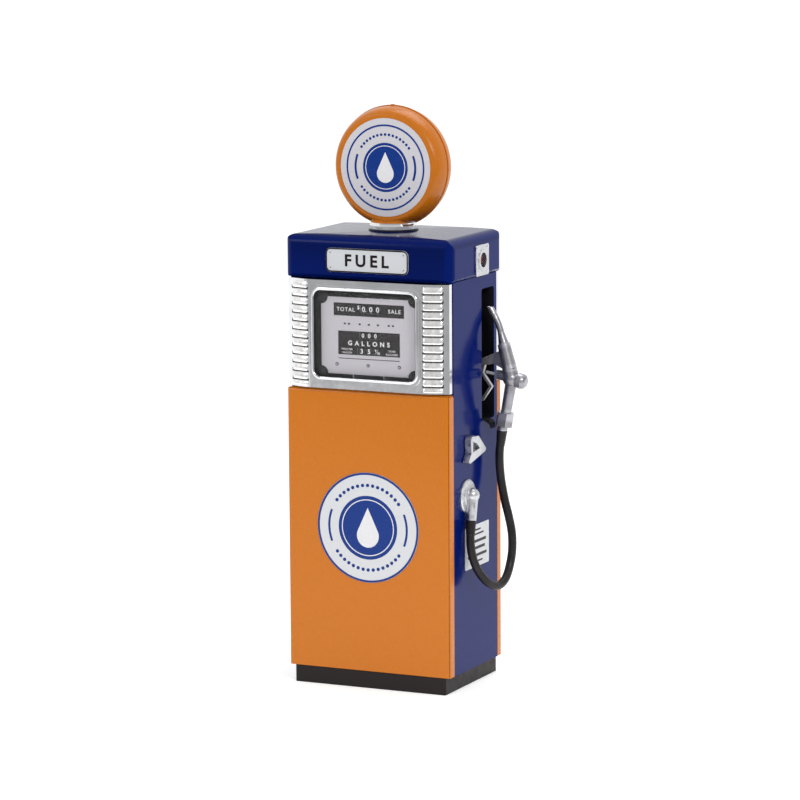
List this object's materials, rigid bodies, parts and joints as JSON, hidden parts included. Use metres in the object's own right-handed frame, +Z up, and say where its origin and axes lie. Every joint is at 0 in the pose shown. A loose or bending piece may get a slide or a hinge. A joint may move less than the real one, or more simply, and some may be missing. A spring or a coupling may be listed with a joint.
{
  "type": "gas pump",
  "caption": "Mid-century computing fuel pump: steel cabinet with lit globe, dial behind a ribbed bezel, side hose and hanging nozzle.",
  "frame": {"origin": "floor level at the middle of the base, which is the centre of the anchor bolt pattern", "axes": "+Z up, -Y towards the front dial, +X towards the hose and nozzle side"},
  "size_m": [0.7806, 0.486, 2.037],
  "materials": {
    "black_enamel": "gloss",
    "primer_steel": "satin",
    "blue_enamel": "gloss",
    "orange_enamel": "gloss",
    "porcelain_white": "gloss",
    "bright_chrome": "polished",
    "clear_glass": "polished",
    "dial_silver": "satin",
    "black_plastic": "matt",
    "opal_glass": "gloss",
    "black_rubber": "matt",
    "red_plastic": "gloss",
    "motor_enamel": "satin",
    "cast_iron_grey": "rough",
    "dark_pan": "satin",
    "cast_aluminium": "satin"
  },
  "bodies": {
    "cabinet": {"plinth": "black_enamel", "frame": "primer_steel", "left_panel": "blue_enamel", "right_panel": "blue_enamel", "front_bezel": "bright_chrome", "rear_bezel": "bright_chrome", "front_glass": "clear_glass", "rear_glass": "clear_glass", "register_housing": "black_enamel", "front_dial": "dial_silver", "rear_dial": "dial_silver", "dial_posts": "black_plastic", "register_frame": "primer_steel", "price_cards": "black_plastic", "cap": "blue_enamel", "front_sign": "porcelain_white", "rear_sign": "porcelain_white", "trim_screws": "bright_chrome", "globe_body": "orange_enamel", "front_lens": "opal_glass", "rear_lens": "opal_glass", "globe_collar": "bright_chrome", "collar_gasket": "black_rubber", "lamp_socket": "porcelain_white", "lamp_bulb": "opal_glass", "sight_plate": "bright_chrome", "sight_glass": "clear_glass", "motor": "motor_enamel", "pump": "cast_iron_grey", "drive_belt": "black_rubber", "meter": "cast_iron_grey", "pipes": "cast_iron_grey", "hose_outlet": "bright_chrome", "hose": "black_rubber", "nozzle_boot": "dark_pan", "label_plate": "porcelain_white"},
    "front_door": {"front_door": "orange_enamel", "front_roundel": "porcelain_white"},
    "rear_door": {"rear_door": "orange_enamel", "rear_roundel": "porcelain_white"},
    "drive_shaft": {"drive_shaft": "primer_steel"},
    "total_cents": {"front_total_wheel_3": "black_plastic"},
    "total_dimes": {"front_total_wheel_2": "black_plastic"},
    "total_dollars": {"front_total_wheel_1": "black_plastic"},
    "gallon_tenths": {"front_gallon_wheel_3": "black_plastic"},
    "gallon_units": {"front_gallon_wheel_2": "black_plastic"},
    "gallon_tens": {"front_gallon_wheel_1": "black_plastic"},
    "rear_totals": {"rear_total_wheels": "black_plastic"},
    "rear_gallons": {"rear_gallon_wheels": "black_plastic"},
    "spinner": {"sight_spinner": "red_plastic"},
    "motor_rotor": {"motor_pulley": "primer_steel"},
    "pump_rotor": {"pump_pulley": "primer_steel"},
    "switch": {"switch_lever": "bright_chrome"},
    "nozzle": {"nozzle_body": "cast_aluminium", "nozzle_spout": "cast_aluminium", "valve_cap": "cast_aluminium", "hex_coupling": "cast_aluminium"},
    "trigger": {"nozzle_lever": "cast_aluminium"},
    "stem": {"valve_stem": "primer_steel"}
  },
  "joints": [
    {"name": "front_door_lift", "type": "slide", "parent": "cabinet", "child": "front_door", "axis": [0, -1, 0], "range_m": [0, 0.3]},
    {"name": "rear_door_lift", "type": "slide", "parent": "cabinet", "child": "rear_door", "axis": [0, 1, 0], "range_m": [0, 0.3]},
    {"name": "drive_shaft_spin", "type": "hinge", "parent": "cabinet", "child": "drive_shaft", "pos_m": [0.1, -0.06, 0.8], "axis": [0, 0, 1], "continuous": true},
    {"name": "total_cents_turn", "type": "hinge", "parent": "cabinet", "child": "total_cents", "pos_m": [0, -0.174, 1.34], "axis": [1, 0, 0], "continuous": true},
    {"name": "total_dimes_turn", "type": "hinge", "parent": "cabinet", "child": "total_dimes", "pos_m": [0, -0.174, 1.34], "axis": [1, 0, 0], "continuous": true},
    {"name": "total_dollars_turn", "type": "hinge", "parent": "cabinet", "child": "total_dollars", "pos_m": [0, -0.174, 1.34], "axis": [1, 0, 0], "continuous": true},
    {"name": "gallon_tenths_turn", "type": "hinge", "parent": "cabinet", "child": "gallon_tenths", "pos_m": [0, -0.18, 1.248], "axis": [1, 0, 0], "continuous": true},
    {"name": "gallon_units_turn", "type": "hinge", "parent": "cabinet", "child": "gallon_units", "pos_m": [0, -0.18, 1.248], "axis": [1, 0, 0], "continuous": true},
    {"name": "gallon_tens_turn", "type": "hinge", "parent": "cabinet", "child": "gallon_tens", "pos_m": [0, -0.18, 1.248], "axis": [1, 0, 0], "continuous": true},
    {"name": "rear_totals_turn", "type": "hinge", "parent": "cabinet", "child": "rear_totals", "pos_m": [0, 0.174, 1.34], "axis": [1, 0, 0], "continuous": true},
    {"name": "rear_gallons_turn", "type": "hinge", "parent": "cabinet", "child": "rear_gallons", "pos_m": [0, 0.18, 1.248], "axis": [1, 0, 0], "continuous": true},
    {"name": "spinner_turn", "type": "hinge", "parent": "cabinet", "child": "spinner", "pos_m": [0.312, 0.035, 1.501], "axis": [1, 0, 0], "continuous": true},
    {"name": "motor_spin", "type": "hinge", "parent": "cabinet", "child": "motor_rotor", "pos_m": [-0.15, -0.1, 0.18], "axis": [0, 1, 0], "continuous": true},
    {"name": "pump_spin", "type": "hinge", "parent": "cabinet", "child": "pump_rotor", "pos_m": [0.095, -0.1, 0.235], "axis": [0, 1, 0], "continuous": true},
    {"name": "switch_turn", "type": "hinge", "parent": "cabinet", "child": "switch", "pos_m": [0.314, -0.062, 0.862], "axis": [1, 0, 0], "range_deg": [0, 90]},
    {"name": "nozzle_lift", "type": "slide", "parent": "cabinet", "child": "nozzle", "axis": [0.6, 0, 0.8], "range_m": [0, 0.25]},
    {"name": "trigger_pull", "type": "hinge", "parent": "nozzle", "child": "trigger", "pos_m": [0.301, 0.11, 1.133], "axis": [0, -1, 0], "range_deg": [0, 8], "stiffness_Nm_per_rad": 4, "springref_deg": -5.73},
    {"name": "stem_push", "type": "slide", "parent": "nozzle", "child": "stem", "axis": [0.9899, 0, -0.1414], "range_m": [0, 0.006]}
  ],
  "couplings": [
    {"joint": "total_cents_turn", "follows": "drive_shaft_spin", "ratio": 2.5},
    {"joint": "total_dimes_turn", "follows": "drive_shaft_spin", "ratio": 0.25},
    {"joint": "total_dollars_turn", "follows": "drive_shaft_spin", "ratio": 0.025},
    {"joint": "gallon_tenths_turn", "follows": "drive_shaft_spin", "ratio": 1},
    {"joint": "gallon_units_turn", "follows": "drive_shaft_spin", "ratio": 0.1},
    {"joint": "gallon_tens_turn", "follows": "drive_shaft_spin", "ratio": 0.01},
    {"joint": "rear_totals_turn", "follows": "drive_shaft_spin", "ratio": -0.25},
    {"joint": "rear_gallons_turn", "follows": "drive_shaft_spin", "ratio": -0.1},
    {"joint": "spinner_turn", "follows": "drive_shaft_spin", "ratio": 4},
    {"joint": "motor_spin", "follows": "pump_spin", "ratio": 2.3529},
    {"joint": "stem_push", "follows": "trigger_pull", "m_per_rad": 0.04}
  ]
}
